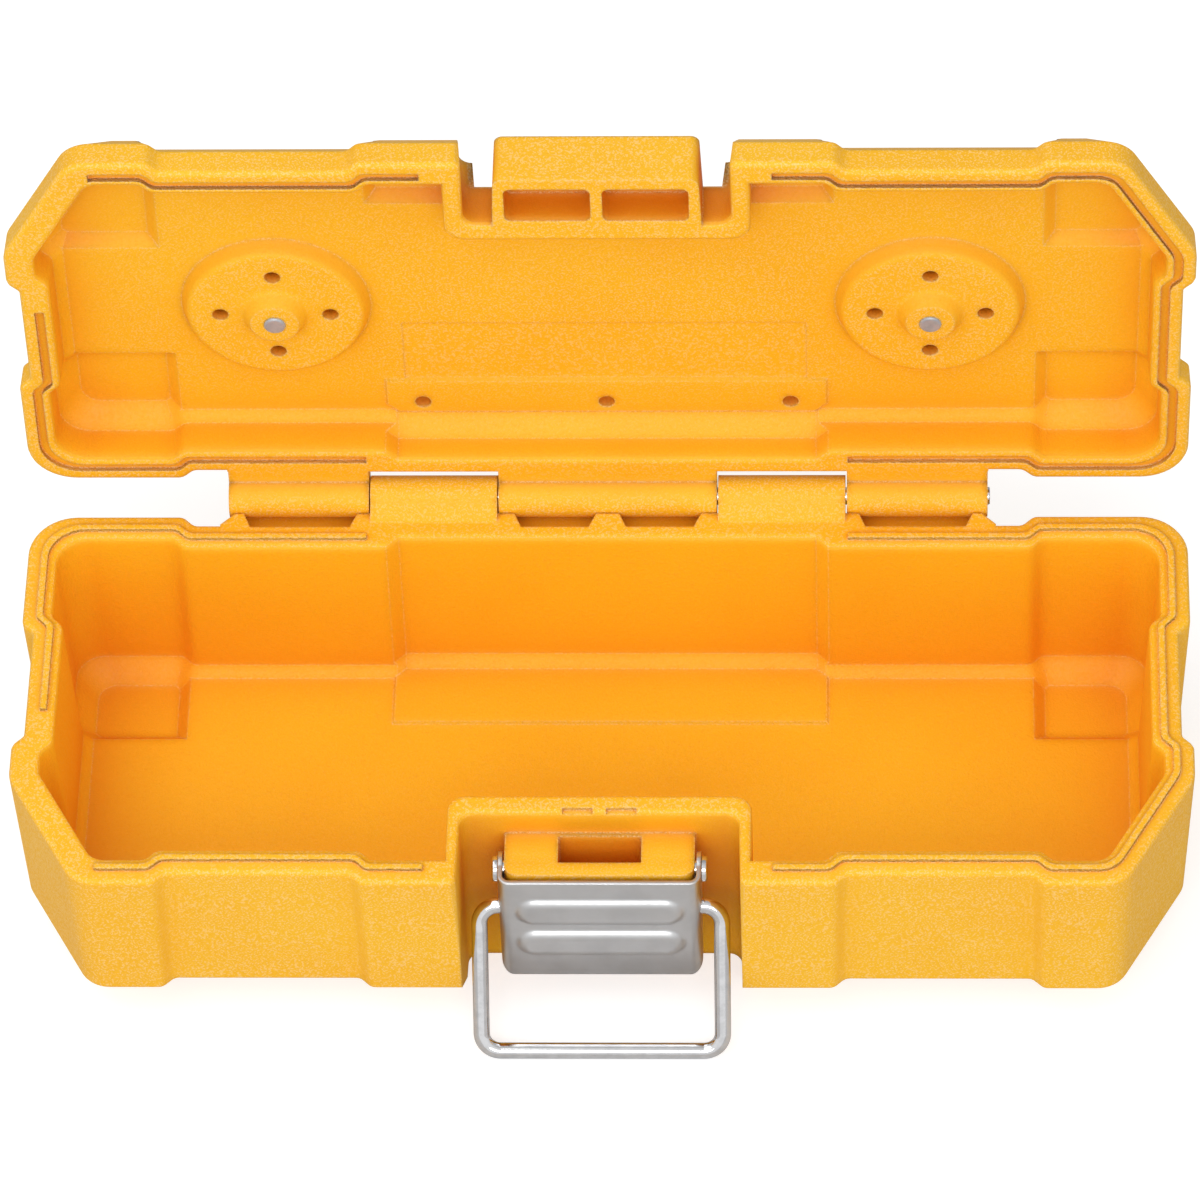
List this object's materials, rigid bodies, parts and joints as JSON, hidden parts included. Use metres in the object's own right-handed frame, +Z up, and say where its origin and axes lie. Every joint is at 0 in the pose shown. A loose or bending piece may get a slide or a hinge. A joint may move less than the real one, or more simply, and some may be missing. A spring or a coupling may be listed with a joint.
{
  "type": "moulded tool case",
  "caption": "Small moulded case, open, with a hinged lid, bumpers, a steel draw latch with a wire bail and turn knobs in the lid.",
  "frame": {"origin": "middle of the plane that the feet stand on, under the middle of the base's plan", "axes": "+X along the hinge to the right, +Y from the latch to the hinge, +Z up"},
  "size_m": [0.26, 0.1392, 0.1607],
  "materials": {
    "case_plastic": "fine moulded grain",
    "knob_plastic": "fine moulded grain",
    "lever_steel": "satin plated",
    "bright_steel": "bright plated"
  },
  "bodies": {
    "base": {"base_shell": "case_plastic", "hinge_pin": "bright_steel", "lever_pin_left": "bright_steel", "lever_pin_right": "bright_steel"},
    "lid": {"lid_shell": "case_plastic", "knob_washer_left": "bright_steel", "knob_washer_right": "bright_steel", "knob_rivet_left": "bright_steel", "knob_rivet_right": "bright_steel"},
    "lever": {"latch_lever": "lever_steel"},
    "bail": {"bail_wire": "bright_steel"},
    "knob_left": {"turn_knob_left": "knob_plastic"},
    "knob_right": {"turn_knob_right": "knob_plastic"}
  },
  "joints": [
    {"name": "lid_hinge", "type": "hinge", "parent": "base", "child": "lid", "pos_m": [0, 0.0577, 0.051], "axis": [1, 0, 0], "range_deg": [0, 90]},
    {"name": "lever_pivot", "type": "hinge", "parent": "base", "child": "lever", "pos_m": [0, -0.0401, 0.0406], "axis": [1, 0, 0], "range_deg": [-105, 0]},
    {"name": "bail_pivot", "type": "hinge", "parent": "lever", "child": "bail", "pos_m": [0, -0.0437, 0.0321], "axis": [-1, 0, 0], "range_deg": [0, 150]},
    {"name": "knob_left_turn", "type": "hinge", "parent": "lid", "child": "knob_left", "pos_m": [-0.0723, 0.0719, 0.1045], "axis": [0, 1, 0], "range_deg": [0, 90]},
    {"name": "knob_right_turn", "type": "hinge", "parent": "lid", "child": "knob_right", "pos_m": [0.0723, 0.0719, 0.1045], "axis": [0, 1, 0], "range_deg": [0, 90]}
  ]
}
